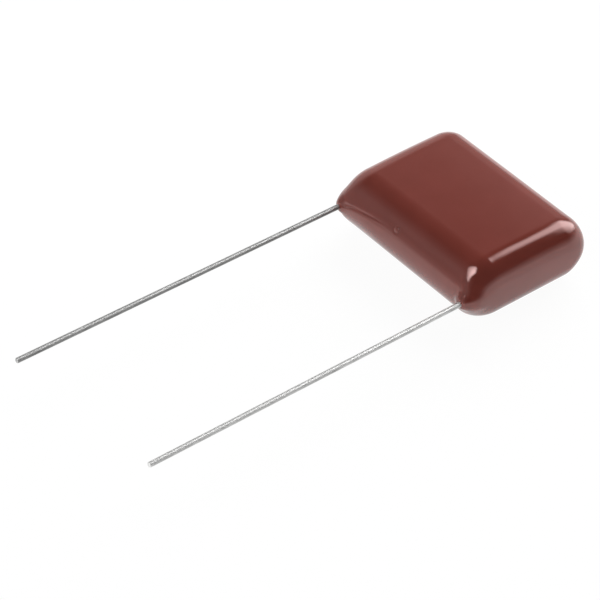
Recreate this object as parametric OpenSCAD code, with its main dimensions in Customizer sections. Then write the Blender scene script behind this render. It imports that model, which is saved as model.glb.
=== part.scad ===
// Dipped polyester film capacitor with two straight leads, lying on its broad face.
// Millimetres. X runs along the lead spacing, the leads point along -Y, and +Z is up.
// The origin is the centre of the flat underside that the body rests on.

/* [Leads] */
// Spacing of the two leads, centre to centre
pitch = 27.5; // [22.5:0.5:37.5]
// Diameter of the lead wire
wire_d = 0.8; // [0.6:0.05:1]
// Free length of the left lead, from the coat to its cut end
left_lead_l = 55.4; // [6:0.2:60]
// Free length of the right lead, from the coat to its cut end
right_lead_l = 52.6; // [6:0.2:60]
// Burr-free chamfer on the cut ends
cut_chamfer = 0.12; // [0.05:0.01:0.2]
// Thickness of the flattened inner end that is welded on
paddle_t = 0.4; // [0.3:0.05:0.6]
// Width of the flattened inner end
paddle_w = 1.25; // [1:0.05:1.6]
// Length of the flattened inner end
paddle_l = 14; // [6:0.5:18]

/* [Winding] */
// Height of the pressed winding, from the lead side to the far side
winding_h = 21.2; // [18:0.1:26]
// Thickness of the pressed winding
winding_t = 8; // [6.5:0.1:11]
// Thickness of the metal sprayed on each end of the winding
spray_t = 0.45; // [0.3:0.05:0.8]

/* [Coat] */
// Coat over the two broad faces of the winding
face_coat = 1; // [0.8:0.05:1.5]
// Coat outside the flattened leads at the two ends
end_coat = 1.7; // [1:0.05:2.5]
// Coat over the far side of the winding
far_coat = 1.4; // [0.8:0.05:2]
// Coat over the lead side of the winding
lead_coat = 0.8; // [0.5:0.05:1.5]
// Depth of the rounding along the lead side
lead_round_l = 5.6; // [4.5:0.1:6.5]
// Depth of the rounding along the far side
far_round_l = 4.7; // [4:0.1:5.5]
// Rounding of the end edges at the lead side
lead_edge_r = 3.9; // [2.5:0.1:4.4]
// Rounding of the end edges at the far side
far_edge_r = 3.7; // [2.5:0.1:4.4]
// Rounding of the end edges at the middle plane, where the leads come out
lead_tip_r = 2; // [1.2:0.1:2.4]
// Least coat left over the sharp end edges of the winding
least_cover = 0.12; // [0.05:0.01:0.2]
// How far the coat is drawn out along each lead, as a blunt nose
nose_l = 0.5; // [0.2:0.05:1]
// Coat around the wire at the blunt end of the nose
nose_wall = 0.15; // [0.1:0.05:0.4]
// Width of the slope from the nose's blunt end down to the body
nose_slope_w = 1.25; // [0.8:0.05:2]
// Height of the ridge that runs from each nose along the lead side
ridge_h = 0.2; // [0.05:0.05:0.4]
// Length over which the ridge fades towards the middle
ridge_fade = 5; // [3:0.5:8]

/* [Hidden] */
$fn = 64;
left = -1;
right = 1;

// Steps of the coat's surface: round a quarter, round an end edge, along X
round_steps = 12;
edge_steps = 9;
long_steps = 11;

film_w = pitch - paddle_t - 2 * spray_t;
core_l = film_w + 2 * spray_t;
body_l = pitch + paddle_t + 2 * end_coat;
body_h = winding_h + far_coat + lead_coat;
body_t = winding_t + 2 * face_coat;
half_t = body_t / 2;
far_y = body_h / 2;
lead_y = -body_h / 2;
winding_y = (lead_coat - far_coat) / 2;
exit_y = lead_y - nose_l;
nose_r = wire_d / 2 + nose_wall;

// The end edges are never rounder than leaves the least cover over the winding's own edge,
// nor so round that no flat is left on the ends
edge_in_x = (body_l - core_l) / 2;
cover_x = edge_in_x - least_cover;
cover_z = face_coat - least_cover;
cover_limit = cover_x + cover_z + least_cover + sqrt(2 * cover_x * cover_z);
end_flat = 0.4;
edge_limit = min(cover_limit, half_t - end_flat);
far_r = min(far_edge_r, edge_limit);
lead_r = min(lead_edge_r, edge_limit);
tip_r = min(lead_tip_r, lead_r);

// How soon the end edges turn from their radius at the leads to that of the broad faces
tip_power = 7;

// Ridge: how sharply it peaks across the thickness, and how soon it ends beyond the lead
ridge_power = 4;
ridge_end_fade = 1.8;

// Flattening: how far inside the coat it starts, the share of the wire's width it starts from,
// and its length, which is over before the wire meets the sprayed end
neck_l = 0.05;
paddle_start = 0.8;
taper_l = lead_y + lead_coat - exit_y - neck_l;

// Shares of a quarter round, closer together at its start, and of half the length, closer at the end
quarter = [for (i = [0:round_steps]) let (t = i / round_steps) t * (1 + t) / 2];
half_length = [for (i = [0:long_steps]) 1 - pow(i / long_steps, 1.6)];

// The coat's outline across X, as points with their outward normals, from the lead side's middle
lead_round = [
    for (t = quarter)
        outline_point(lead_y + lead_round_l, -lead_round_l, 90 * t)
];
far_round = [
    for (i = [0:round_steps])
        outline_point(far_y - far_round_l, far_round_l, 90 - 90 * i / round_steps)
];
upper = concat(lead_round, far_round);
lower = [for (i = [len(upper) - 2:-1:1]) [upper[i][0], -upper[i][1], upper[i][2], -upper[i][3]]];
outline = concat(upper, lower);

// Each ring is a share of the straight half length and an angle round the end edge
left_rings = [for (i = [0:edge_steps - 1]) [-1, -90 + 90 * i / edge_steps]];
left_half = [for (share = half_length) [-share, 0]];
right_half = [for (i = [long_steps - 1:-1:0]) [half_length[i], 0]];
right_rings = [for (i = [1:edge_steps]) [1, 90 * i / edge_steps]];
rings = concat(left_rings, left_half, right_half, right_rings);

// A point of an elliptic quarter with its normal, at an angle from the quarter's tip
function outline_point(middle_y, depth, a) =
    let (n = [cos(a) / depth, sin(a) / half_t])
    [middle_y + depth * cos(a), half_t * sin(a), n[0] / norm(n), n[1] / norm(n)];

// Radius of the end edge at a point of the outline, sharper towards the middle of the lead side
function edge_r(p) =
    let (side_r = lead_r + (far_r - lead_r) * (p[0] - lead_y) / body_h)
    side_r - (side_r - tip_r) * pow(max(0, -p[2]), tip_power);

// Height of the ridge at a place along X
function ridge(x) =
    let (off = abs(x) - pitch / 2)
    ridge_h * exp(-pow(off / (off > 0 ? ridge_end_fade : ridge_fade), 2));

// Height of the nose round a lead: level out to its rim, then a smooth slope down to the body
function nose(x, z) =
    let (past = norm([abs(x) - pitch / 2, z]) - nose_r)
    let (t = max(0, min(1, past / nose_slope_w)))
    nose_l * (1 - t * t * (3 - 2 * t));

function coat_point(p, ring) =
    let (r = edge_r(p))
    let (x = ring[0] * (body_l / 2 - r) + r * sin(ring[1]))
    let (inset = r * (1 - cos(ring[1])))
    let (y = p[0] - p[2] * inset)
    let (z = p[1] - p[3] * inset)
    let (facing = max(0, -p[2]))
    [x, y - facing * max(nose(x, z), ridge(x) * pow(facing, ridge_power)), half_t + z];

module coat_skin() {
    count = len(outline);
    last = len(rings) - 1;
    points = [for (ring = rings) for (p = outline) coat_point(p, ring)];
    walls = [
        for (k = [0:last - 1])
            for (i = [0:count - 1])
                let (j = (i + 1) % count)
                [k * count + i, (k + 1) * count + i, (k + 1) * count + j, k * count + j]
    ];
    left_cap = [for (i = [0:count - 1]) i];
    right_cap = [for (i = [0:count - 1]) last * count + count - 1 - i];
    polyhedron(points, concat([left_cap], walls, [right_cap]));
}

module winding_outline(h, t) {
    square([h - t, t], center = true);
    for (side = [left, right])
        translate([side * (h - t) / 2, 0])
            circle(d = t);
}

// A slab of the winding's outline, starting at the given X and running along +X
module winding_slab(start_x, length) {
    translate([start_x, winding_y, half_t])
        rotate([90, 0, 90])
            linear_extrude(length)
                winding_outline(winding_h, winding_t);
}

// The round wire, running from just inside the coat to its cut end, and the flattened end
module wire(side, free_l) {
    round_l = free_l - cut_chamfer;
    translate([side * pitch / 2, exit_y, half_t]) {
        rotate([90, 0, 0]) {
            translate([0, 0, -neck_l])
                cylinder(d = wire_d, h = neck_l + round_l);
            translate([0, 0, round_l])
                cylinder(d1 = wire_d, d2 = wire_d - 2 * cut_chamfer, h = cut_chamfer);
        }
        translate([0, neck_l, 0]) {
            rotate([-90, 0, 0])
                cylinder(d1 = wire_d, d2 = paddle_t, h = taper_l);
            rotate([90, 0, 90])
                translate([0, 0, -paddle_t / 2])
                    linear_extrude(paddle_t)
                        paddle_plan();
        }
    }
}

// Plan of the flattened end, widening from inside the round wire
module paddle_plan() {
    start_w = wire_d * paddle_start;
    polygon([
        [0, -start_w / 2],
        [taper_l, -paddle_w / 2],
        [taper_l + paddle_l, -paddle_w / 2],
        [taper_l + paddle_l, paddle_w / 2],
        [taper_l, paddle_w / 2],
        [0, start_w / 2]
    ]);
}

module epoxy_coat() {
    color([0.46, 0.2, 0.16])
        difference() {
            coat_skin();
            winding_slab(-core_l / 2, core_l);
            wire(left, left_lead_l);
            wire(right, right_lead_l);
        }
}

module film_winding() {
    color([0.75, 0.76, 0.78])
        winding_slab(-film_w / 2, film_w);
}

module end_spray_left() {
    color([0.55, 0.56, 0.58])
        winding_slab(-core_l / 2, spray_t);
}

module end_spray_right() {
    color([0.55, 0.56, 0.58])
        winding_slab(film_w / 2, spray_t);
}

module lead_left() {
    color([0.8, 0.8, 0.82])
        wire(left, left_lead_l);
}

module lead_right() {
    color([0.8, 0.8, 0.82])
        wire(right, right_lead_l);
}

epoxy_coat();
film_winding();
end_spray_left();
end_spray_right();
lead_left();
lead_right();
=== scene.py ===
"""Looks of a dipped polyester film capacitor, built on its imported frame."""

import math

import bmesh
import bpy
import numpy as np
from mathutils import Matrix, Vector, noise


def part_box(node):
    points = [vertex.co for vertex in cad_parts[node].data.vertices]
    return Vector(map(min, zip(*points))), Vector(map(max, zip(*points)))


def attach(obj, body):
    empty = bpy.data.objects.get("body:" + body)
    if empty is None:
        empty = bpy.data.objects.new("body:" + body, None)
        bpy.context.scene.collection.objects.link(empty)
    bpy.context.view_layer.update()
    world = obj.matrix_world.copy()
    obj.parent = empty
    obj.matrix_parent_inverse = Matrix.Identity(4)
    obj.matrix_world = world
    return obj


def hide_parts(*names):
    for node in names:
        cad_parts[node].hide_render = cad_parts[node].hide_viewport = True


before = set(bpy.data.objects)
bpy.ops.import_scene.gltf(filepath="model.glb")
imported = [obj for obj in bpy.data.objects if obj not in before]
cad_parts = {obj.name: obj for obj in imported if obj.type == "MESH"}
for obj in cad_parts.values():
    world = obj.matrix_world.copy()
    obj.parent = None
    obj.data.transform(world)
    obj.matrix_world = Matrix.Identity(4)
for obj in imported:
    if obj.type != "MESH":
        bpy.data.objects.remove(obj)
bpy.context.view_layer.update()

bl_info = {
    "name": "Dipped Film Capacitor",
    "version": (1, 0, 0),
    "blender": (4, 5, 0),
    "location": "View3D > Sidebar > Capacitor",
    "description": "Builds the looks of a dipped film capacitor on its packed frame",
    "category": "Object",
}

MM = 0.001

# Places that the frame gives: the coat's corners and the two wires
coat_low, coat_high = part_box("epoxy_coat")
left_low, left_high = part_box("lead_left")
right_low, right_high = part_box("lead_right")
LEAD_SPACING = (right_low.x + right_high.x - left_low.x - left_high.x) / 2
WIRE_RADIUS = (left_high.x - left_low.x) / 2
MIDDLE_HEIGHT = (coat_low.z + coat_high.z) / 2


class CoatSettings(bpy.types.PropertyGroup):
    """Sizes and colours of the dipped epoxy coat"""
    half_length: bpy.props.FloatProperty(
        name="Half length", description="From the middle to the outermost point of an end",
        default=coat_high.x, unit="LENGTH", precision=5)
    half_thickness: bpy.props.FloatProperty(
        name="Half thickness", description="From the middle plane to a broad face",
        default=(coat_high.z - coat_low.z) / 2, unit="LENGTH", precision=5)
    far_side: bpy.props.FloatProperty(
        name="Far side", description="Place of the far side along Y",
        default=coat_high.y, unit="LENGTH", precision=5)
    far_pull: bpy.props.FloatVectorProperty(
        name="Far side pull",
        description="How far the far side stays inside its place at the left and at the right",
        default=(0.0 * MM, 0.38 * MM), size=2, unit="LENGTH", precision=5)
    nose_tip: bpy.props.FloatProperty(
        name="Nose tip", description="Place along Y where the wires leave the coat",
        default=coat_low.y, unit="LENGTH", precision=5)
    nose_length: bpy.props.FloatProperty(
        name="Nose length", description="How far the coat is drawn out along each wire",
        default=0.5 * MM, unit="LENGTH", precision=5)
    nose_radius: bpy.props.FloatProperty(
        name="Nose radius", description="Radius of the blunt end of a nose",
        default=WIRE_RADIUS + 0.15 * MM, unit="LENGTH", precision=5)
    nose_slope: bpy.props.FloatProperty(
        name="Nose slope", description="Width of the slope from a nose's blunt end down to the body",
        default=1.25 * MM, unit="LENGTH", precision=5)
    lead_round: bpy.props.FloatProperty(
        name="Lead side rounding", description="Depth of the rounding along the lead side",
        default=5.6 * MM, unit="LENGTH", precision=5)
    far_round: bpy.props.FloatProperty(
        name="Far side rounding", description="Depth of the rounding along the far side",
        default=4.7 * MM, unit="LENGTH", precision=5)
    lead_edge: bpy.props.FloatProperty(
        name="Edge radius at the lead side", description="Rounding of the end edges at the lead side",
        default=3.9 * MM, unit="LENGTH", precision=5)
    far_edge: bpy.props.FloatVectorProperty(
        name="Edge radius at the far side",
        description="Rounding of the left and right end edges at the far side",
        default=(3.2 * MM, 4.1 * MM), size=2, unit="LENGTH", precision=5)
    corner_edge: bpy.props.FloatProperty(
        name="Edge radius at the wires",
        description="Rounding of the end edges at the middle plane, by the wires",
        default=2.0 * MM, unit="LENGTH", precision=5)
    far_corner: bpy.props.FloatProperty(
        name="Far corner",
        description="How much sharper the end edges are at the middle plane of the far side",
        default=0.7 * MM, unit="LENGTH", precision=5)
    under_edge: bpy.props.FloatProperty(
        name="Lower edge", description="How much sharper the end edges are along the underside",
        default=0.35 * MM, unit="LENGTH", precision=5)
    lip: bpy.props.FloatProperty(
        name="Lip height", description="Height of the lip that the run-off leaves beside the left wire",
        default=0.28 * MM, unit="LENGTH", precision=6)
    groove: bpy.props.FloatProperty(
        name="Groove depth", description="Depth of the fine groove along the top of the lip",
        default=0.05 * MM, unit="LENGTH", precision=6)
    face_dome: bpy.props.FloatProperty(
        name="Face dome", description="How much lower the upper face is at its rim than in its middle",
        default=0.13 * MM, unit="LENGTH", precision=6)
    end_dome: bpy.props.FloatProperty(
        name="End dome", description="How far the middle of an end stands out from its rim",
        default=0.05 * MM, unit="LENGTH", precision=6)
    ripple: bpy.props.FloatProperty(
        name="Ripple", description="Depth of the slow waves that the dip leaves in the skin",
        default=0.012 * MM, unit="LENGTH", precision=6)
    blister: bpy.props.FloatVectorProperty(
        name="Blister", description="Place of the small burst blister on the lead side",
        default=(-1.95 * MM, -10.8 * MM, 7.65 * MM), size=3, subtype="TRANSLATION", precision=5)
    blister_radius: bpy.props.FloatProperty(
        name="Blister radius", description="Radius of the blister with the sunk ring round it",
        default=0.8 * MM, unit="LENGTH", precision=6)
    blister_depth: bpy.props.FloatProperty(
        name="Blister depth", description="Depth of the sunk ring round the blister",
        default=0.065 * MM, unit="LENGTH", precision=6)
    colour: bpy.props.FloatVectorProperty(
        name="Epoxy colour", description="Main colour of the epoxy",
        default=(0.163, 0.0345, 0.0255), size=3, subtype="COLOR", min=0, max=1)
    colour_dark: bpy.props.FloatVectorProperty(
        name="Epoxy dark colour", description="Colour of the epoxy where its pigment is denser",
        default=(0.148, 0.0305, 0.022), size=3, subtype="COLOR", min=0, max=1)
    gloss_roughness: bpy.props.FloatProperty(
        name="Gloss roughness", description="Roughness of the cured skin",
        default=0.06, min=0, max=1, subtype="FACTOR")


class LeadSettings(bpy.types.PropertyGroup):
    """Sizes and colours of the two tinned wires"""
    wire_radius: bpy.props.FloatProperty(
        name="Wire radius", description="Radius of the round wire",
        default=WIRE_RADIUS, unit="LENGTH", precision=5)
    cut_chamfer: bpy.props.FloatProperty(
        name="Cut chamfer", description="Rounded edge that the cutter leaves on the free end",
        default=0.12 * MM, unit="LENGTH", precision=6)
    cut_slant: bpy.props.FloatProperty(
        name="Cut slant", description="Lean of the cut face, as rise over run",
        default=0.12, min=0, max=0.5)
    flat_thickness: bpy.props.FloatProperty(
        name="Flat thickness", description="Thickness of the flattened end inside the coat",
        default=0.4 * MM, unit="LENGTH", precision=5)
    flat_width: bpy.props.FloatProperty(
        name="Flat width", description="Width of the flattened end inside the coat",
        default=1.25 * MM, unit="LENGTH", precision=5)
    waviness: bpy.props.FloatProperty(
        name="Waviness", description="Depth of the soft unevenness in the tin layer",
        default=0.006 * MM, unit="LENGTH", precision=6)
    colour: bpy.props.FloatVectorProperty(
        name="Tin colour", description="Main colour of the tinned wire",
        default=(0.98, 0.98, 0.97), size=3, subtype="COLOR", min=0, max=1)
    colour_dull: bpy.props.FloatVectorProperty(
        name="Dull tin colour", description="Colour of the tin where it has dulled",
        default=(0.7, 0.7, 0.695), size=3, subtype="COLOR", min=0, max=1)


class InsideSettings(bpy.types.PropertyGroup):
    """Colours of the parts inside the coat"""
    film_colour: bpy.props.FloatVectorProperty(
        name="Film colour", description="Colour of the metallised film",
        default=(0.50, 0.51, 0.54), size=3, subtype="COLOR", min=0, max=1)
    spray_colour: bpy.props.FloatVectorProperty(
        name="Spray colour", description="Colour of the sprayed metal ends",
        default=(0.27, 0.28, 0.30), size=3, subtype="COLOR", min=0, max=1)


class StageSettings(bpy.types.PropertyGroup):
    """Floor, lamps and camera"""
    floor_radius: bpy.props.FloatProperty(
        name="Floor radius", description="Radius of the round floor",
        default=4.0, unit="LENGTH")
    floor_shade: bpy.props.FloatProperty(
        name="Floor shade", description="Grey of the matt floor",
        default=0.9, min=0, max=1, subtype="FACTOR")
    floor_glow: bpy.props.FloatProperty(
        name="Floor glow",
        description="Share of the floor that reads plain white to the camera and in reflections",
        default=0.955, min=0, max=1, subtype="FACTOR")
    lamp_distance: bpy.props.FloatProperty(
        name="Lamp distance", description="Distance of the two soft boxes that show in the gloss",
        default=1.5, unit="LENGTH")
    fill_distance: bpy.props.FloatProperty(
        name="Fill distance", description="Distance of the three fills",
        default=0.8, unit="LENGTH")
    far_lamp: bpy.props.FloatProperty(
        name="Far lamp", description="Brightness of the tall soft box behind the far side",
        default=5.5, min=0)
    lead_lamp: bpy.props.FloatProperty(
        name="Lead lamp", description="Brightness of the soft box above the leads",
        default=7.2, min=0)
    far_fill: bpy.props.FloatProperty(
        name="Far fill",
        description="Brightness of the wide fill at the far side, which leaves no reflection",
        default=8.3, min=0)
    lead_fill: bpy.props.FloatProperty(
        name="Lead fill",
        description="Brightness of the low fill at the lead side, which leaves no reflection",
        default=1.8, min=0)
    end_fill: bpy.props.FloatProperty(
        name="End fill",
        description="Brightness of the low fill at the right end, which leaves no reflection",
        default=1.2, min=0)
    view_turn: bpy.props.FloatProperty(
        name="View turn", description="Angle of the camera about the vertical",
        default=math.radians(52.677), subtype="ANGLE")
    view_height: bpy.props.FloatProperty(
        name="View height", description="Angle of the camera above the floor",
        default=math.radians(40.64), subtype="ANGLE")
    view_distance: bpy.props.FloatProperty(
        name="View distance", description="Distance of the camera from the lead side",
        default=355.2 * MM, unit="LENGTH")
    view_aim: bpy.props.FloatProperty(
        name="View aim",
        description="Place along Y, at the lead side, that the camera's place is measured from",
        default=-12.03 * MM, unit="LENGTH", precision=6)
    view_aside: bpy.props.FloatVectorProperty(
        name="View aside",
        description="How far the camera stands to the right and up of the lead side's middle",
        default=(-14.004 * MM, -6.548 * MM), size=2, unit="LENGTH", precision=6)
    focal_length: bpy.props.FloatProperty(
        name="Focal length", description="Focal length in millimetres on a 36 mm sensor",
        default=149.352, min=1)


# Materials

def new_material(name):
    """An empty node material and its Principled shader"""
    material = bpy.data.materials.new(name)
    material.use_nodes = True
    tree = material.node_tree
    tree.nodes.clear()
    shader = tree.nodes.new("ShaderNodeBsdfPrincipled")
    output = tree.nodes.new("ShaderNodeOutputMaterial")
    tree.links.new(shader.outputs["BSDF"], output.inputs["Surface"])
    return material, tree, shader


def object_coordinates(tree, scale=(1, 1, 1)):
    """Object coordinates, stretched by a Mapping node"""
    place = tree.nodes.new("ShaderNodeTexCoord")
    mapping = tree.nodes.new("ShaderNodeMapping")
    mapping.inputs["Scale"].default_value = scale
    tree.links.new(place.outputs["Object"], mapping.inputs["Vector"])
    return mapping.outputs["Vector"]


def noise_value(tree, vector, scale, detail=2.0, roughness=0.5):
    """A noise texture's value"""
    texture = tree.nodes.new("ShaderNodeTexNoise")
    texture.inputs["Scale"].default_value = scale
    texture.inputs["Detail"].default_value = detail
    texture.inputs["Roughness"].default_value = roughness
    tree.links.new(vector, texture.inputs["Vector"])
    return texture.outputs["Fac"]


def ramp(tree, value, stops):
    """A colour ramp over a value, as (place, colour) stops"""
    node = tree.nodes.new("ShaderNodeValToRGB")
    points = node.color_ramp.elements
    while len(points) < len(stops):
        points.new(0.5)
    for point, (place, colour) in zip(points, stops):
        point.position = place
        point.color = (*colour, 1.0)
    tree.links.new(value, node.inputs["Fac"])
    return node.outputs["Color"]


def grey_ramp(tree, value, stops):
    """A ramp of greys over a value, as (place, shade) stops"""
    return ramp(tree, value, [(place, (shade, shade, shade)) for place, shade in stops])


def maths(tree, operation, first, second):
    """A Math node on two sockets or numbers"""
    node = tree.nodes.new("ShaderNodeMath")
    node.operation = operation
    for socket, value in zip(node.inputs, (first, second)):
        if isinstance(value, (int, float)):
            socket.default_value = value
        else:
            tree.links.new(value, socket)
    return node.outputs[0]


def spread(tree, value, low, high, to_low, to_high):
    """A value mapped from one range to another, held at its ends"""
    node = tree.nodes.new("ShaderNodeMapRange")
    node.inputs["From Min"].default_value = low
    node.inputs["From Max"].default_value = high
    node.inputs["To Min"].default_value = to_low
    node.inputs["To Max"].default_value = to_high
    tree.links.new(value, node.inputs["Value"])
    return node.outputs["Result"]


def bump(tree, height, distance, strength=1.0, under=None):
    """A bump from a height value, over another bump where one is given"""
    node = tree.nodes.new("ShaderNodeBump")
    node.inputs["Strength"].default_value = strength
    node.inputs["Distance"].default_value = distance
    tree.links.new(height, node.inputs["Height"])
    if under is not None:
        tree.links.new(under, node.inputs["Normal"])
    return node.outputs["Normal"]


def epoxy_material(settings):
    """Glossy red-brown dipped epoxy, with clouded pigment, a soft peel and a few dust pits"""
    material, tree, shader = new_material("dipped_epoxy")
    place = object_coordinates(tree)
    clouds = noise_value(tree, place, 160, 4, 0.55)
    colour = ramp(tree, clouds, [(0.3, settings.colour_dark), (0.7, settings.colour)])
    tree.links.new(colour, shader.inputs["Base Color"])
    haze = noise_value(tree, place, 420, 3)
    rough = spread(tree, haze, 0.3, 0.75, settings.gloss_roughness * 0.8, settings.gloss_roughness * 1.5)
    tree.links.new(rough, shader.inputs["Roughness"])
    peel = noise_value(tree, place, 700, 2, 0.4)
    skin = bump(tree, peel, 0.006 * MM, 0.5)
    dust = tree.nodes.new("ShaderNodeTexVoronoi")
    dust.inputs["Scale"].default_value = 300
    tree.links.new(place, dust.inputs["Vector"])
    pits = spread(tree, dust.outputs["Distance"], 0.0, 0.06, 0.0, 1.0)
    skin = bump(tree, pits, 0.02 * MM, 0.4, skin)
    tree.links.new(skin, shader.inputs["Normal"])
    shader.inputs["IOR"].default_value = 1.9
    shader.inputs["Specular Tint"].default_value = (1.0, 0.69, 0.67, 1.0)
    return material


def tin_material(settings):
    """Tinned wire with drawing lines, dull patches, and bands of painted shade with a painted highlight
    line along it, brighter on the right wire
    """
    material, tree, shader = new_material("tinned_wire")
    along = object_coordinates(tree, (1, 0.03, 1))
    lines = noise_value(tree, along, 9000, 3, 0.6)
    patches = noise_value(tree, object_coordinates(tree, (1, 0.35, 1)), 900, 4, 0.6)
    place = tree.nodes.new("ShaderNodeSeparateXYZ")
    tree.links.new(object_coordinates(tree), place.inputs["Vector"])
    side = spread(tree, place.outputs["X"], -LEAD_SPACING / 2, LEAD_SPACING / 2, 0.2, 0.8)
    bright = maths(tree, "ADD", side, spread(tree, patches, 0.3, 0.7, -0.2, 0.2))
    colour = ramp(tree, bright, [(0.0, settings.colour_dull), (1.0, settings.colour)])
    # Bands of painted shade and a painted highlight along the wire, from its left side to its right:
    # painted shade on both sides, darkest on the right, and a painted highlight line right of the middle.
    # They are weaker where the tin is bright.
    axis = maths(tree, "MULTIPLY", maths(tree, "SIGN", place.outputs["X"], 0.0), LEAD_SPACING / 2)
    aside = maths(tree, "SUBTRACT", place.outputs["X"], axis)
    across = spread(tree, aside, -settings.wire_radius, settings.wire_radius, 0, 1)
    painted_light_bands = grey_ramp(tree, across, [
        (0.0, 0.7), (0.36, 0.7), (0.6, 0.76), (0.77, 1.0), (0.88, 0.85), (0.96, 0.4), (1.0, 0.36)])
    painted_light_bands = maths(tree, "POWER", painted_light_bands, spread(tree, bright, 0.0, 1.0, 1.3, 0.4))
    # The tin's colour times the bands of painted shade and painted highlight
    painted_light_colour = tree.nodes.new("ShaderNodeVectorMath")
    painted_light_colour.operation = "MULTIPLY"
    tree.links.new(colour, painted_light_colour.inputs[0])
    tree.links.new(painted_light_bands, painted_light_colour.inputs[1])
    tree.links.new(painted_light_colour.outputs["Vector"], shader.inputs["Base Color"])
    rough = spread(tree, patches, 0.3, 0.7, 0.58, 0.5)
    tree.links.new(rough, shader.inputs["Roughness"])
    tree.links.new(bump(tree, lines, 0.004 * MM, 0.5), shader.inputs["Normal"])
    shader.inputs["Metallic"].default_value = 1.0
    return material


def film_material(settings):
    """Satin metallised film with the fine lines of its turns"""
    material, tree, shader = new_material("metallised_film")
    turns = noise_value(tree, object_coordinates(tree, (1, 0.02, 0.02)), 6000, 3, 0.6)
    dark = [c * 0.72 for c in settings.film_colour]
    colour = ramp(tree, turns, [(0.3, dark), (0.7, settings.film_colour)])
    tree.links.new(colour, shader.inputs["Base Color"])
    tree.links.new(spread(tree, turns, 0.2, 0.8, 0.5, 0.28), shader.inputs["Roughness"])
    tree.links.new(bump(tree, turns, 0.02 * MM, 0.5), shader.inputs["Normal"])
    shader.inputs["Metallic"].default_value = 0.85
    return material


def spray_material(settings):
    """Grainy flame-sprayed metal"""
    material, tree, shader = new_material("sprayed_metal")
    place = object_coordinates(tree)
    grain = noise_value(tree, place, 5200, 5, 0.65)
    dark = [c * 0.6 for c in settings.spray_colour]
    colour = ramp(tree, grain, [(0.32, dark), (0.66, settings.spray_colour)])
    tree.links.new(colour, shader.inputs["Base Color"])
    tree.links.new(spread(tree, grain, 0.2, 0.8, 0.85, 0.55), shader.inputs["Roughness"])
    tree.links.new(bump(tree, grain, 0.08 * MM, 0.9), shader.inputs["Normal"])
    shader.inputs["Metallic"].default_value = 0.8
    return material


def floor_material(settings):
    """Pale matt floor that keeps a light shadow and reads white to the camera and in reflections"""
    material = bpy.data.materials.new("pale_floor")
    material.use_nodes = True
    tree = material.node_tree
    tree.nodes.clear()
    matt = tree.nodes.new("ShaderNodeBsdfDiffuse")
    shade = settings.floor_shade
    matt.inputs["Color"].default_value = (shade, shade, shade, 1)
    glow = tree.nodes.new("ShaderNodeEmission")
    glow.inputs["Strength"].default_value = 1.0
    path = tree.nodes.new("ShaderNodeLightPath")
    seen = maths(tree, "MAXIMUM", path.outputs["Is Camera Ray"], path.outputs["Is Glossy Ray"])
    seen = maths(tree, "MAXIMUM", seen, path.outputs["Is Transmission Ray"])
    blend = tree.nodes.new("ShaderNodeMixShader")
    tree.links.new(maths(tree, "MULTIPLY", seen, settings.floor_glow), blend.inputs[0])
    tree.links.new(matt.outputs[0], blend.inputs[1])
    tree.links.new(glow.outputs[0], blend.inputs[2])
    output = tree.nodes.new("ShaderNodeOutputMaterial")
    tree.links.new(blend.outputs[0], output.inputs["Surface"])
    return material


# Coat

def quarter_round(middle, depth, half, angles):
    """Points of an elliptic rounding across X, with their outward normals"""
    points = np.c_[middle + depth * np.cos(angles), half * np.sin(angles)]
    normals = np.c_[np.cos(angles) / depth, np.sin(angles) / half]
    return points, normals / np.linalg.norm(normals, axis=1, keepdims=True)


def coat_outline(s, lead_side):
    """The coat's outline across X, from the upper lead edge round the lead side, below and back"""
    lead_steps, far_steps, flat_steps = 150, 88, 30
    half = s.half_thickness
    lead_middle = lead_side + s.lead_round
    far_middle = s.far_side - s.far_round
    down = np.linspace(math.pi / 2, -math.pi / 2, lead_steps + 1)
    up = np.linspace(-math.pi / 2, math.pi / 2, far_steps + 1)
    lead, lead_normals = quarter_round(lead_middle, -s.lead_round, half, down)
    far, far_normals = quarter_round(far_middle, s.far_round, half, up)
    run = np.linspace(lead_middle, far_middle, flat_steps + 2)[1:-1]
    under = np.c_[run, np.full(flat_steps, -half)]
    over = np.c_[run[::-1], np.full(flat_steps, half)]
    down_normals = np.tile([0.0, -1.0], (flat_steps, 1))
    points = np.vstack([lead, under, far, over])
    normals = np.vstack([lead_normals, down_normals, far_normals, -down_normals])
    return points, normals


def smooth_step(low, high, value):
    """Rises from 0 to 1 between two values, level at both ends"""
    t = np.clip((value - low) / (high - low), 0, 1)
    return t * t * (3 - 2 * t)


def drawn_to_wires(s, x, y, z, outward):
    """The lead side's place along Y, with the blunt noses round the wires and the lip by the left one"""
    facing = np.maximum(0, -outward)
    past = np.hypot(np.abs(x) - LEAD_SPACING / 2, z) - s.nose_radius
    nose = s.nose_length * (1 - smooth_step(0, s.nose_slope, past))
    # The lip starts at the left wire and climbs the lead side as it fades
    climb, climb_run = 2.4 * MM, 4.3 * MM
    along = x + LEAD_SPACING / 2
    below = climb * (1 - np.exp(-np.maximum(0, along) / climb_run)) - z
    fade = smooth_step(-0.8 * MM, 0.8 * MM, along) * (1 - smooth_step(5.0 * MM, 10.5 * MM, along))
    # Across the lip: a slope down to it, a sharp step, and a slow run back into the skin
    slope = smooth_step(-1.7 * MM, -0.4 * MM, below)
    edge = smooth_step(-0.12 * MM, 0.12 * MM, below)
    run_back = smooth_step(0.8 * MM, 4.2 * MM, below)
    step = (0.6 * slope + 0.4 * edge) * (1 - run_back)
    line_above, line_width = 0.1 * MM, 0.14 * MM
    line = np.exp(-((below + line_above) / line_width) ** 2)
    return y - facing * (np.maximum(nose, fade * s.lip * step) - fade * s.groove * line)


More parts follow.
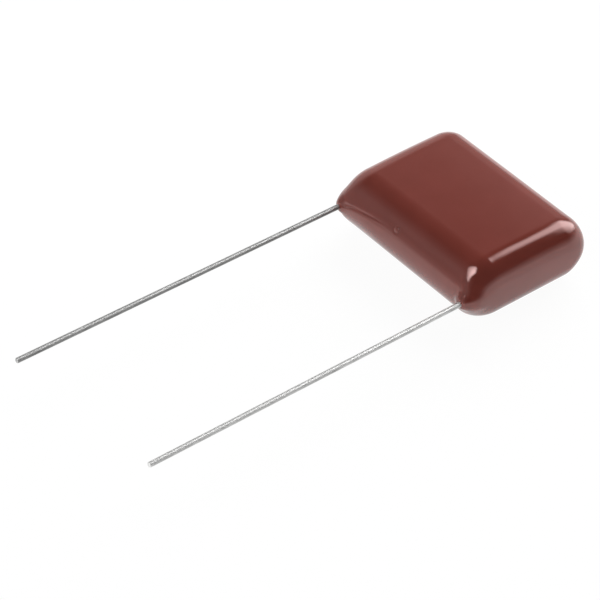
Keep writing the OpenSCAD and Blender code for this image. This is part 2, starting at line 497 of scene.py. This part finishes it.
def edge_radii(s, outline, normals, lead_side):
    """Radii of the left and the right end edges at each point of the outline"""
    back = (outline[:, 0] - lead_side) / (s.far_side - lead_side)
    # How soon the edges turn sharper towards the middle plane of the lead side and of the far side
    lead_power, far_power = 7, 5
    lead_tip = np.maximum(0, -normals[:, 0]) ** lead_power
    far_tip = np.maximum(0, normals[:, 0]) ** far_power
    under = np.maximum(0, -normals[:, 1])
    radii = []
    for far_edge in s.far_edge:
        radius = s.lead_edge + (far_edge - s.lead_edge) * back
        radius -= (radius - s.corner_edge) * lead_tip
        radius -= s.far_corner * far_tip
        radius -= s.under_edge * under
        radii.append(radius)
    return radii


def ring_stations(s, half_length, steep):
    """Places of the rings, each a share of the straight half length and an angle round the end edge"""
    edge_steps, long_steps, blister_steps = 30, 72, 26
    turn = np.linspace(0, steep, edge_steps + 1)
    # The rings along the straight length are closer together at the blister
    straight = half_length - s.lead_edge * math.sin(steep)
    blister_at, blister_reach = s.blister[0] / straight, s.blister_radius / straight
    lengthwise = np.linspace(-1, 1, long_steps + 1)
    lengthwise = lengthwise[np.abs(lengthwise - blister_at) > 1.2 * blister_reach]
    fine = blister_at + blister_reach * np.linspace(-1.1, 1.1, blister_steps + 1)
    stations = [(-1.0, -a) for a in turn[:0:-1]]
    stations += [(u, 0.0) for u in np.sort(np.r_[lengthwise, fine])]
    stations += [(1.0, a) for a in turn[1:]]
    return stations


def end_cap(s, end, ring, half_length):
    """Rings that close an end from its last ring to a line in its middle, slightly domed"""
    cap_steps = 7
    low, high = ring[:, 1].min(), ring[:, 1].max()
    margin = np.abs(ring[:, 2]).max()
    spine = np.clip(ring[:, 1], low + margin, high - margin)
    caps = []
    for t in np.linspace(0, 1, cap_steps + 1)[1:]:
        x = np.full(len(ring), end * (half_length + s.end_dome * (1 - (1 - t) ** 2)))
        y = ring[:, 1] + (spine - ring[:, 1]) * t
        caps.append(np.c_[x, y, ring[:, 2] * (1 - t)])
    return caps


def coat_rings(s):
    """The coat's skin as rings of points from one end's middle to the other's"""
    lead_side = s.nose_tip + s.nose_length
    outline, normals = coat_outline(s, lead_side)
    radii = edge_radii(s, outline, normals, lead_side)
    half_length = s.half_length - s.end_dome
    # The end edges turn this far before the domed ends take over
    steep = math.radians(84)
    rings = []
    for share, angle in ring_stations(s, half_length, steep):
        radius = radii[0] if share < 0 else radii[1]
        x = share * (half_length - radius * math.sin(steep)) + radius * math.sin(angle)
        inset = radius * (1 - math.cos(angle))
        y = outline[:, 0] - normals[:, 0] * inset
        z = outline[:, 1] - normals[:, 1] * inset
        y = drawn_to_wires(s, x, y, z, normals[:, 0])
        rings.append(np.c_[x, y, z])
    left_cap = end_cap(s, -1, rings[0], half_length)
    right_cap = end_cap(s, 1, rings[-1], half_length)
    skin = np.array(left_cap[::-1] + rings + right_cap)
    # The far side is pulled in towards the right, and the upper face falls towards its rim
    share = (1 + skin[..., 0] / s.half_length) / 2
    back = np.clip((skin[..., 1] - lead_side) / (s.far_side - lead_side), 0, 1) ** 3
    skin[..., 1] -= (s.far_pull[0] * (1 - share) + s.far_pull[1] * share) * back
    lift = np.clip(skin[..., 2] / s.half_thickness, 0, 1) ** 2
    flat_low, flat_high = lead_side + s.lead_round, s.far_side - s.far_round
    across = (2 * skin[..., 1] - flat_low - flat_high) / (flat_high - flat_low)
    sag = np.minimum(across ** 2, 1) + 0.3 * (skin[..., 0] / s.half_length) ** 2
    skin[..., 2] -= s.face_dome * lift * sag
    return skin


def ripple_skin(s, bm):
    """Slow waves and a light unevenness, inwards only, as a dipped skin has"""
    wave_length = 6.5 * MM
    level_height = 0.4 * MM
    for vert in bm.verts:
        place = vert.co / wave_length
        wave = noise.noise(place) + 0.35 * noise.noise(place * 2.7 + Vector((4.1, 1.7, 9.2)))
        # The underside stays level
        share = 1.0 if vert.co.z > level_height else vert.co.z / level_height
        vert.co -= vert.normal * s.ripple * share * (1.0 + wave) / 2


def raise_blister(s, bm):
    """The small burst blister: a low dome in a sunk ring"""
    middle = Vector(s.blister)
    for vert in bm.verts:
        away = (vert.co - middle).length / s.blister_radius
        if away < 1:
            # From the top of the dome, down into the ring and back up to the skin
            level = np.interp(away, (0, 0.3, 0.6, 0.75, 1), (0.25, 0.33, -1, -0.83, 0))
            vert.co += vert.normal * s.blister_depth * float(level)


def rig(piece, nodes):
    """Sets a finished piece on the one body, in place of its CAD nodes"""
    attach(piece, "root")
    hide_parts(*nodes)


class CAPACITOR_OT_make_coat(bpy.types.Operator):
    """Makes the dipped epoxy coat"""
    bl_idname = "capacitor.make_coat"
    bl_label = "Make Coat"

    def execute(self, context):
        s = context.scene.capacitor_coat
        merge_distance = 0.002 * MM
        skin = coat_rings(s)
        rings, count, _ = skin.shape
        skin[..., 2] += MIDDLE_HEIGHT
        bm = bmesh.new()
        verts = [[bm.verts.new(p) for p in ring] for ring in skin]
        for k in range(rings - 1):
            for i in range(count):
                j = (i + 1) % count
                bm.faces.new((verts[k][i], verts[k][j], verts[k + 1][j], verts[k + 1][i]))
        bmesh.ops.remove_doubles(bm, verts=bm.verts, dist=merge_distance)
        bmesh.ops.recalc_face_normals(bm, faces=bm.faces)
        bm.normal_update()
        ripple_skin(s, bm)
        raise_blister(s, bm)
        mesh = bpy.data.meshes.new("coat_skin")
        bm.to_mesh(mesh)
        bm.free()
        mesh.shade_smooth()
        mesh.materials.append(epoxy_material(s))
        piece = bpy.data.objects.new("coat_skin", mesh)
        context.scene.collection.objects.link(piece)
        rig(piece, ["epoxy_coat"])
        return {"FINISHED"}


# Leads

def wire_tree():
    """Geometry Nodes that sweep a round wire along a path, flatten its inner end and lean its cut end"""
    tree = bpy.data.node_groups.new("swept_wire", "GeometryNodeTree")
    sockets = tree.interface
    sockets.new_socket("Geometry", in_out="INPUT", socket_type="NodeSocketGeometry")
    for name in ("Wire Radius", "Flat Thickness", "Flat Width", "Cut Slant", "Waviness"):
        sockets.new_socket(name, in_out="INPUT", socket_type="NodeSocketFloat")
    sockets.new_socket("Axis", in_out="INPUT", socket_type="NodeSocketVector")
    sockets.new_socket("Round Steps", in_out="INPUT", socket_type="NodeSocketInt")
    sockets.new_socket("Finish", in_out="INPUT", socket_type="NodeSocketMaterial")
    sockets.new_socket("Geometry", in_out="OUTPUT", socket_type="NodeSocketGeometry")
    nodes, links = tree.nodes, tree.links
    given = nodes.new("NodeGroupInput").outputs
    result = nodes.new("NodeGroupOutput").inputs

    def attribute(name):
        """A named value of the path's points"""
        node = nodes.new("GeometryNodeInputNamedAttribute")
        node.data_type = "FLOAT"
        node.inputs["Name"].default_value = name
        return node.outputs["Attribute"]

    def vectors(operation, first, second):
        """A Vector Math node on two sockets"""
        node = nodes.new("ShaderNodeVectorMath")
        node.operation = operation
        links.new(first, node.inputs[0])
        links.new(second, node.inputs["Scale"] if operation == "SCALE" else node.inputs[1])
        return node.outputs["Vector"]

    def grown(share, factor):
        """Growth of the wire's width: none where the share is 0, and to the factor where it is 1"""
        node = nodes.new("ShaderNodeMix")
        node.data_type = "FLOAT"
        links.new(share, node.inputs["Factor"])
        node.inputs["A"].default_value = 1.0
        links.new(factor, node.inputs["B"])
        return maths(tree, "SUBTRACT", node.outputs["Result"], 1.0)

    path = nodes.new("GeometryNodeMeshToCurve")
    links.new(given["Geometry"], path.inputs["Mesh"])
    profile = nodes.new("GeometryNodeCurvePrimitiveCircle")
    links.new(given["Round Steps"], profile.inputs["Resolution"])
    links.new(given["Wire Radius"], profile.inputs["Radius"])
    sweep = nodes.new("GeometryNodeCurveToMesh")
    links.new(path.outputs["Curve"], sweep.inputs["Curve"])
    links.new(profile.outputs["Curve"], sweep.inputs["Profile Curve"])
    links.new(attribute("size"), sweep.inputs["Scale"])
    sweep.inputs["Fill Caps"].default_value = True

    # Flattening, and the lean of the cut, about the wire's own axis
    here = nodes.new("GeometryNodeInputPosition").outputs["Position"]
    aside = nodes.new("ShaderNodeSeparateXYZ")
    links.new(vectors("SUBTRACT", here, given["Axis"]), aside.inputs["Vector"])
    diameter = maths(tree, "MULTIPLY", given["Wire Radius"], 2)
    across = maths(tree, "DIVIDE", given["Flat Thickness"], diameter)
    tall = maths(tree, "DIVIDE", given["Flat Width"], diameter)
    flat = attribute("flat")
    move_x = maths(tree, "MULTIPLY", aside.outputs["X"], grown(flat, across))
    move_z = maths(tree, "MULTIPLY", aside.outputs["Z"], grown(flat, tall))
    height = maths(tree, "ADD", aside.outputs["Z"], given["Wire Radius"])
    lean = maths(tree, "MULTIPLY", given["Cut Slant"], height)
    move_y = maths(tree, "MULTIPLY", attribute("cut"), lean)
    offset = nodes.new("ShaderNodeCombineXYZ")
    links.new(move_x, offset.inputs["X"])
    links.new(move_y, offset.inputs["Y"])
    links.new(move_z, offset.inputs["Z"])
    shaped = nodes.new("GeometryNodeSetPosition")
    links.new(sweep.outputs["Mesh"], shaped.inputs["Geometry"])
    links.new(offset.outputs["Vector"], shaped.inputs["Offset"])

    # Soft unevenness of the tin, inwards only, from noise drawn out along the wire
    stretch = nodes.new("ShaderNodeVectorMath")
    stretch.operation = "MULTIPLY"
    stretch.inputs[1].default_value = (1.0, 0.3, 1.0)
    links.new(nodes.new("GeometryNodeInputPosition").outputs["Position"], stretch.inputs[0])
    uneven = nodes.new("ShaderNodeTexNoise")
    uneven.inputs["Scale"].default_value = 700.0
    uneven.inputs["Detail"].default_value = 2.0
    links.new(stretch.outputs["Vector"], uneven.inputs["Vector"])
    depth = maths(tree, "MULTIPLY", uneven.outputs["Fac"], maths(tree, "MULTIPLY", given["Waviness"], -1.0))
    normal = nodes.new("GeometryNodeInputNormal").outputs["Normal"]
    waved = nodes.new("GeometryNodeSetPosition")
    links.new(shaped.outputs["Geometry"], waved.inputs["Geometry"])
    links.new(vectors("SCALE", normal, depth), waved.inputs["Offset"])

    smooth = nodes.new("GeometryNodeSetShadeSmooth")
    links.new(waved.outputs["Geometry"], smooth.inputs["Geometry"])
    whole = nodes.new("GeometryNodeRealizeInstances")
    links.new(smooth.outputs["Geometry"], whole.inputs["Geometry"])
    finish = nodes.new("GeometryNodeSetMaterial")
    links.new(whole.outputs["Geometry"], finish.inputs["Geometry"])
    links.new(given["Finish"], finish.inputs["Material"])
    links.new(finish.outputs["Geometry"], result["Geometry"])
    return tree


def wire_path(name, axis, cut_y, exit_y, inner_y, s):
    """The wire's path as a line of points, each with its size, flatness and share of the cut's lean"""
    chamfer = s.cut_chamfer
    rim = 1 - chamfer / s.wire_radius
    arc = [math.radians(a) for a in range(0, 91, 15)]
    points = [(cut_y, 0.5 * rim, 0.0, 1.0)]
    points += [(cut_y + chamfer * (1 - math.cos(a)), rim + (1 - rim) * math.sin(a), 0.0, 1.0) for a in arc]
    start = cut_y + chamfer
    straight = np.linspace(start, exit_y, 121)[1:]
    # Lengths over which the cut's lean fades out and the wire is flattened
    lean_run, taper = 1.5 * MM, 1.1 * MM
    points += [(y, 1.0, 0.0, max(0.0, 1 - (y - start) / lean_run)) for y in straight]
    points += [(exit_y + taper * t, 1.0, t, 0.0) for t in np.linspace(0, 1, 9)[1:]]
    points += [(y, 1.0, 1.0, 0.0) for y in np.linspace(exit_y + taper, inner_y, 8)[1:]]
    mesh = bpy.data.meshes.new(name)
    steps = [(i, i + 1) for i in range(len(points) - 1)]
    mesh.from_pydata([(axis.x, p[0], axis.z) for p in points], steps, [])
    for k, attribute in ((1, "size"), (2, "flat"), (3, "cut")):
        layer = mesh.attributes.new(attribute, "FLOAT", "POINT")
        layer.data.foreach_set("value", [p[k] for p in points])
    return mesh


class CAPACITOR_OT_make_leads(bpy.types.Operator):
    """Makes the two tinned wires"""
    bl_idname = "capacitor.make_leads"
    bl_label = "Make Leads"

    def execute(self, context):
        s = context.scene.capacitor_leads
        coat = context.scene.capacitor_coat
        tree = wire_tree()
        finish = tin_material(s)
        sockets = {i.name: i.identifier for i in tree.interface.items_tree if i.in_out == "INPUT"}
        for node, low, high in (("lead_left", left_low, left_high), ("lead_right", right_low, right_high)):
            axis = (low + high) / 2
            path = wire_path(node + "_wire", axis, low.y, coat.nose_tip, high.y, s)
            piece = bpy.data.objects.new(node + "_wire", path)
            context.scene.collection.objects.link(piece)
            modifier = piece.modifiers.new("swept_wire", "NODES")
            modifier.node_group = tree
            values = {
                "Wire Radius": s.wire_radius,
                "Flat Thickness": s.flat_thickness,
                "Flat Width": s.flat_width,
                "Cut Slant": s.cut_slant,
                "Waviness": s.waviness,
                "Axis": tuple(axis),
                "Round Steps": 40,
                "Finish": finish,
            }
            for name, value in values.items():
                modifier[sockets[name]] = value
            view = context.evaluated_depsgraph_get()
            mesh = bpy.data.meshes.new_from_object(piece.evaluated_get(view), depsgraph=view)
            if len(mesh.polygons) == 0:
                raise RuntimeError("the wire's sweep came out empty")
            piece.modifiers.remove(modifier)
            piece.data = mesh
            bpy.data.meshes.remove(path)
            mesh.name = node + "_wire"
            rig(piece, [node])
        return {"FINISHED"}


# Inside

class CAPACITOR_OT_finish_inside(bpy.types.Operator):
    """Gives the winding and its sprayed ends their finishes"""
    bl_idname = "capacitor.finish_inside"
    bl_label = "Finish Inside"

    def execute(self, context):
        s = context.scene.capacitor_inside
        film = film_material(s)
        spray = spray_material(s)
        for node, finish in (("film_winding", film), ("end_spray_left", spray), ("end_spray_right", spray)):
            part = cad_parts[node]
            if not part.material_slots:
                part.data.materials.append(finish)
            for slot in part.material_slots:
                slot.material = finish
        return {"FINISHED"}


# Stage

# Rows of light in the two soft boxes that show in the gloss, from the bottom up, as shares of the box:
# height, dark left, lit left, lit right, dark right, and the row's level
FAR_ROWS = (
    (0.0, 0.52, 0.70, 0.75, 0.87, 0.50), (0.097, 0.43, 0.62, 0.71, 0.86, 0.68),
    (0.193, 0.31, 0.57, 0.69, 0.85, 0.80), (0.24, 0.24, 0.48, 0.68, 0.83, 0.82),
    (0.384, 0.06, 0.55, 0.67, 0.82, 0.90), (0.571, 0.01, 0.48, 0.69, 0.82, 0.95),
    (0.712, 0.08, 0.46, 0.71, 0.86, 1.00), (0.758, 0.19, 0.45, 0.71, 0.86, 0.98),
    (0.804, 0.30, 0.45, 0.72, 0.89, 0.78), (0.85, 0.29, 0.46, 0.61, 0.75, 0.62),
    (0.896, 0.31, 0.47, 0.58, 0.73, 0.60), (0.942, 0.36, 0.52, 0.63, 0.78, 0.55),
    (1.0, 0.45, 0.56, 0.63, 0.82, 0.28),
)
LEAD_ROWS = (
    (0.0, 0.40, 0.58, 0.60, 0.70, 0.40), (0.13, 0.32, 0.56, 0.59, 0.76, 0.55),
    (0.26, 0.22, 0.54, 0.58, 0.72, 0.70), (0.41, 0.09, 0.53, 0.60, 0.71, 0.87),
    (0.56, 0.01, 0.52, 0.61, 0.74, 1.00), (0.71, 0.04, 0.49, 0.62, 0.76, 0.98),
    (0.81, 0.12, 0.41, 0.57, 0.72, 0.80), (0.91, 0.23, 0.41, 0.49, 0.64, 0.65),
    (1.0, 0.33, 0.44, 0.47, 0.58, 0.45),
)


def direction_to(turn, height):
    """A unit direction at an angle about the vertical and an angle above the floor, in degrees"""
    a, e = math.radians(turn), math.radians(height)
    return Vector((math.cos(a) * math.cos(e), math.sin(a) * math.cos(e), math.sin(e)))


def soft_box(scene, name, turn, low, high, width, distance, brightness, rows=None):
    """A soft box that faces the object, placed by angles in degrees, with rows that shape its light"""
    lamp = bpy.data.lights.new(name, "AREA")
    lamp.shape = "RECTANGLE"
    lamp.size = 2 * distance * math.tan(math.radians(width) / 2)
    lamp.size_y = 2 * distance * math.tan(math.radians(high - low) / 2)
    lamp.energy = brightness * math.pi * lamp.size * lamp.size_y
    if rows is not None:
        lamp.use_nodes = True
        tree = lamp.node_tree
        tree.nodes.clear()
        place = tree.nodes.new("ShaderNodeSeparateXYZ")
        on_box = tree.nodes.new("ShaderNodeNewGeometry")
        tree.links.new(on_box.outputs["Parametric"], place.inputs["Vector"])
        height = place.outputs["Y"]
        columns = [grey_ramp(tree, height, [(row[0], row[k]) for row in rows]) for k in range(1, 6)]
        dark_left, lit_left, lit_right, dark_right, level = columns

        def lit(dark, full):
            """Rises from 0 to 1 across the box, from a dark place to a fully lit one"""
            along = maths(tree, "SUBTRACT", place.outputs["X"], dark)
            reach = maths(tree, "SUBTRACT", full, dark)
            return spread(tree, maths(tree, "DIVIDE", along, reach), 0, 1, 0, 1)

        inside = maths(tree, "MULTIPLY", lit(dark_left, lit_left), lit(dark_right, lit_right))
        light = tree.nodes.new("ShaderNodeEmission")
        tree.links.new(maths(tree, "MULTIPLY", inside, level), light.inputs["Strength"])
        output = tree.nodes.new("ShaderNodeOutputLight")
        tree.links.new(light.outputs["Emission"], output.inputs["Surface"])
    away = direction_to(turn, (low + high) / 2)
    holder = bpy.data.objects.new(name, lamp)
    holder.location = Vector((0, 0, MIDDLE_HEIGHT)) + away * distance
    holder.rotation_euler = away.to_track_quat("Z", "Y").to_euler()
    scene.collection.objects.link(holder)
    return holder


def studio_world(scene):
    """Dim surroundings: a horizon glow, pale walls on the left, and glows at the far and lead sides"""
    world = bpy.data.worlds.new("studio")
    scene.world = world
    world.use_nodes = True
    tree = world.node_tree
    tree.nodes.clear()
    direction = tree.nodes.new("ShaderNodeTexCoord")

    def glow(turn, height, *stops):
        """Grey by the cosine of a direction's angle from a place, as (cosine, shade) stops"""
        towards = tree.nodes.new("ShaderNodeVectorMath")
        towards.operation = "DOT_PRODUCT"
        towards.inputs[1].default_value = direction_to(turn, height)
        tree.links.new(direction.outputs["Generated"], towards.inputs[0])
        share = spread(tree, towards.outputs["Value"], -1, 1, 0, 1)
        return grey_ramp(tree, share, [((place + 1) / 2, shade) for place, shade in stops])

    def lighter(first, second):
        """The lighter of two colours"""
        node = tree.nodes.new("ShaderNodeMix")
        node.data_type = "RGBA"
        node.blend_type = "LIGHTEN"
        node.inputs[0].default_value = 1.0
        for socket, colour in zip([i for i in node.inputs if i.type == "RGBA"], (first, second)):
            tree.links.new(colour, socket)
        return [o for o in node.outputs if o.type == "RGBA"][0]

    horizon = glow(225, 84, (-0.1, 0.75), (0.0, 0.6), (0.1, 0.36), (0.21, 0.12), (0.31, 0.01))
    left = glow(0, 55, (-0.57, 0.3), (-0.22, 0.4), (0.0, 0.31), (0.16, 0.18), (0.24, 0.09), (0.34, 0.03))
    wall = glow(165, 0, (0.66, 0.0), (0.7, 0.14), (0.76, 0.3), (0.82, 0.55), (0.88, 0.6), (1.0, 0.7))
    far = glow(125, 27, (0.9, 0.0), (0.94, 0.1), (0.966, 0.18), (0.98, 0.28), (0.99, 0.36), (0.9985, 0.45))
    leads = glow(
        -110, 0, (0.3, 0.0), (0.4, 0.08), (0.584, 0.22), (0.637, 0.27), (0.675, 0.36), (0.78, 0.4),
        (0.87, 0.36), (0.927, 0.37), (0.961, 0.5), (1.0, 0.8))
    sky = tree.nodes.new("ShaderNodeBackground")
    tree.links.new(lighter(lighter(lighter(horizon, left), wall), lighter(far, leads)), sky.inputs["Color"])
    output = tree.nodes.new("ShaderNodeOutputWorld")
    tree.links.new(sky.outputs["Background"], output.inputs["Surface"])


def make_floor(scene, s):
    """The plain pale floor, a round sheet at no height"""
    bm = bmesh.new()
    bmesh.ops.create_circle(bm, cap_ends=True, segments=96, radius=s.floor_radius)
    mesh = bpy.data.meshes.new("floor")
    bm.to_mesh(mesh)
    bm.free()
    mesh.materials.append(floor_material(s))
    floor = bpy.data.objects.new("floor", mesh)
    scene.collection.objects.link(floor)


def make_lamps(scene, s):
    """Two soft boxes that only show in the gloss, and three fills that only give matt light"""
    for name, turn, low, high, width, brightness, rows in (
            ("far_soft_box", 84, 2, 63, 60, s.far_lamp, FAR_ROWS),
            ("lead_soft_box", -96, 45, 81, 60, s.lead_lamp, LEAD_ROWS)):
        box = soft_box(scene, name, turn, low, high, width, s.lamp_distance, brightness, rows)
        box.visible_diffuse = False
    for name, turn, low, high, width, brightness in (
            ("far_fill", 118, 5, 50, 60, s.far_fill),
            ("lead_fill", -100, 8, 48, 70, s.lead_fill),
            ("end_fill", 10, 1, 18, 70, s.end_fill)):
        fill = soft_box(scene, name, turn, low, high, width, s.fill_distance, brightness)
        fill.visible_glossy = False


def make_camera(scene, s):
    """The camera at the photograph's place"""
    a, e = s.view_turn, s.view_height
    back = Vector((math.sin(a) * math.cos(e), -math.cos(a) * math.cos(e), math.sin(e)))
    right = Vector((math.cos(a), math.sin(a), 0))
    up = back.cross(right)
    lens = bpy.data.cameras.new("camera")
    lens.sensor_width = 36
    lens.lens = s.focal_length
    lens.clip_start = 0.01
    lens.clip_end = 20
    camera = bpy.data.objects.new("camera", lens)
    aim = Vector((0, s.view_aim, MIDDLE_HEIGHT))
    camera.location = aim + back * s.view_distance + right * s.view_aside[0] + up * s.view_aside[1]
    camera.rotation_euler = (-back).to_track_quat("-Z", "Y").to_euler()
    scene.collection.objects.link(camera)
    scene.camera = camera


class CAPACITOR_OT_make_stage(bpy.types.Operator):
    """Makes the floor, the lamps, the surroundings and the camera"""
    bl_idname = "capacitor.make_stage"
    bl_label = "Make Stage"

    def execute(self, context):
        scene = context.scene
        s = scene.capacitor_stage
        scene.view_settings.view_transform = "Standard"
        make_floor(scene, s)
        make_lamps(scene, s)
        studio_world(scene)
        make_camera(scene, s)
        return {"FINISHED"}


class CAPACITOR_PT_pieces(bpy.types.Panel):
    """Pieces of the capacitor and their sizes"""
    bl_idname = "CAPACITOR_PT_pieces"
    bl_label = "Dipped Film Capacitor"
    bl_space_type = "VIEW_3D"
    bl_region_type = "UI"
    bl_category = "Capacitor"

    def draw(self, context):
        scene = context.scene
        for operator, settings in (
                ("capacitor.make_coat", scene.capacitor_coat),
                ("capacitor.make_leads", scene.capacitor_leads),
                ("capacitor.finish_inside", scene.capacitor_inside),
                ("capacitor.make_stage", scene.capacitor_stage)):
            box = self.layout.box()
            box.operator(operator)
            for name in settings.__annotations__:
                box.prop(settings, name)


CLASSES = (
    CoatSettings, LeadSettings, InsideSettings, StageSettings,
    CAPACITOR_OT_make_coat, CAPACITOR_OT_make_leads, CAPACITOR_OT_finish_inside, CAPACITOR_OT_make_stage,
    CAPACITOR_PT_pieces,
)


def register():
    for item in CLASSES:
        bpy.utils.register_class(item)
    bpy.types.Scene.capacitor_coat = bpy.props.PointerProperty(type=CoatSettings)
    bpy.types.Scene.capacitor_leads = bpy.props.PointerProperty(type=LeadSettings)
    bpy.types.Scene.capacitor_inside = bpy.props.PointerProperty(type=InsideSettings)
    bpy.types.Scene.capacitor_stage = bpy.props.PointerProperty(type=StageSettings)


def unregister():
    for name in ("capacitor_stage", "capacitor_inside", "capacitor_leads", "capacitor_coat"):
        delattr(bpy.types.Scene, name)
    for item in reversed(CLASSES):
        bpy.utils.unregister_class(item)


def main():
    register()
    bpy.ops.capacitor.make_coat()
    bpy.ops.capacitor.make_leads()
    bpy.ops.capacitor.finish_inside()
    bpy.ops.capacitor.make_stage()


if __name__ == "__main__":
    main()
